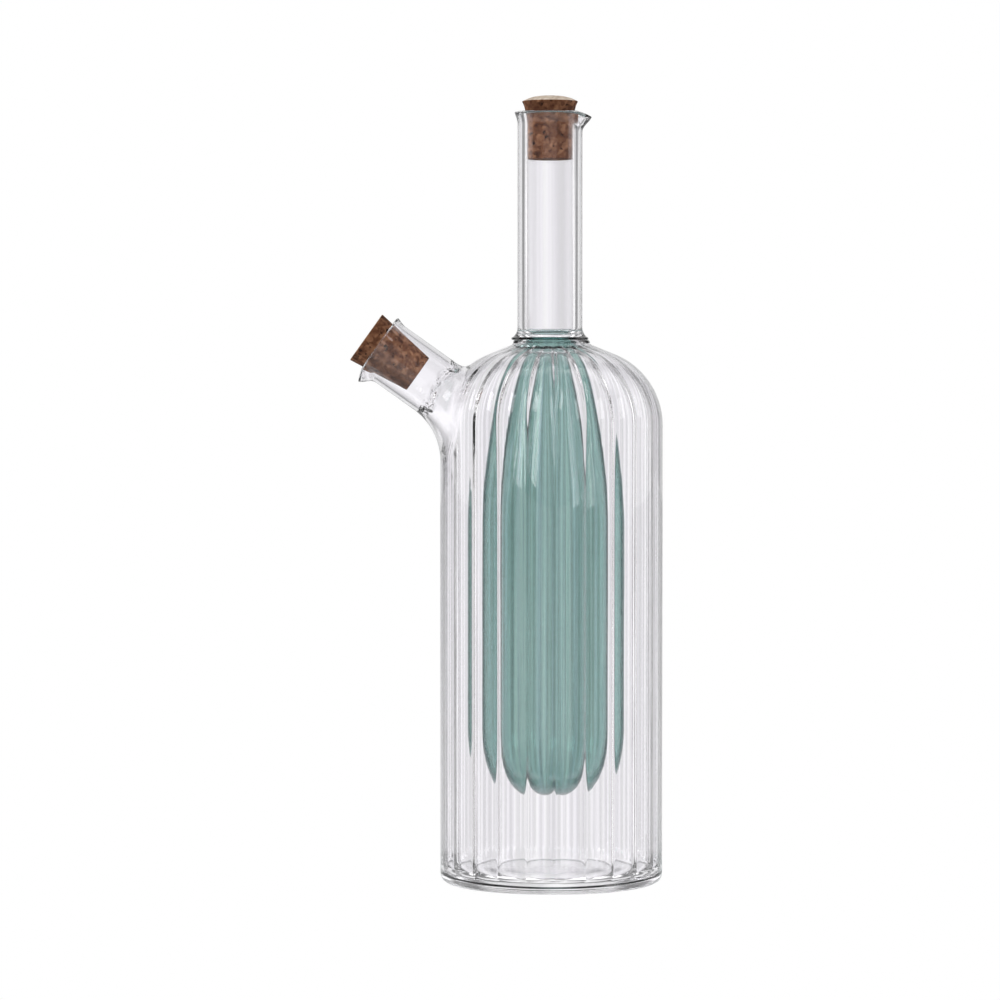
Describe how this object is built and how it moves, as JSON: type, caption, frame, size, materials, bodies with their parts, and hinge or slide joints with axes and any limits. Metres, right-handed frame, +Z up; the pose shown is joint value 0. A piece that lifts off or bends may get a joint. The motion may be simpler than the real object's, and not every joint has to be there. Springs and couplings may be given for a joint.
{
  "type": "dual oil and vinegar bottle",
  "caption": "Clear ribbed glass bottle holding a teal inner vessel, with a tall neck for oil and an angled side spout for vinegar, each closed by a cork.",
  "frame": {"origin": "on the bottle's axis, on the flat face that it stands on", "axes": "+Z up along the bottle's axis; the side spout points to -X and the neck's pouring lip to +X"},
  "size_m": [0.0977, 0.07, 0.2469],
  "materials": {
    "clear_glass": "polished",
    "teal_glass": "polished",
    "cork": "matte"
  },
  "bodies": {
    "root": {"body": "clear_glass", "inner_vessel": "teal_glass", "neck": "clear_glass", "neck_cork": "cork", "spout_cork": "cork"}
  },
  "joints": []
}
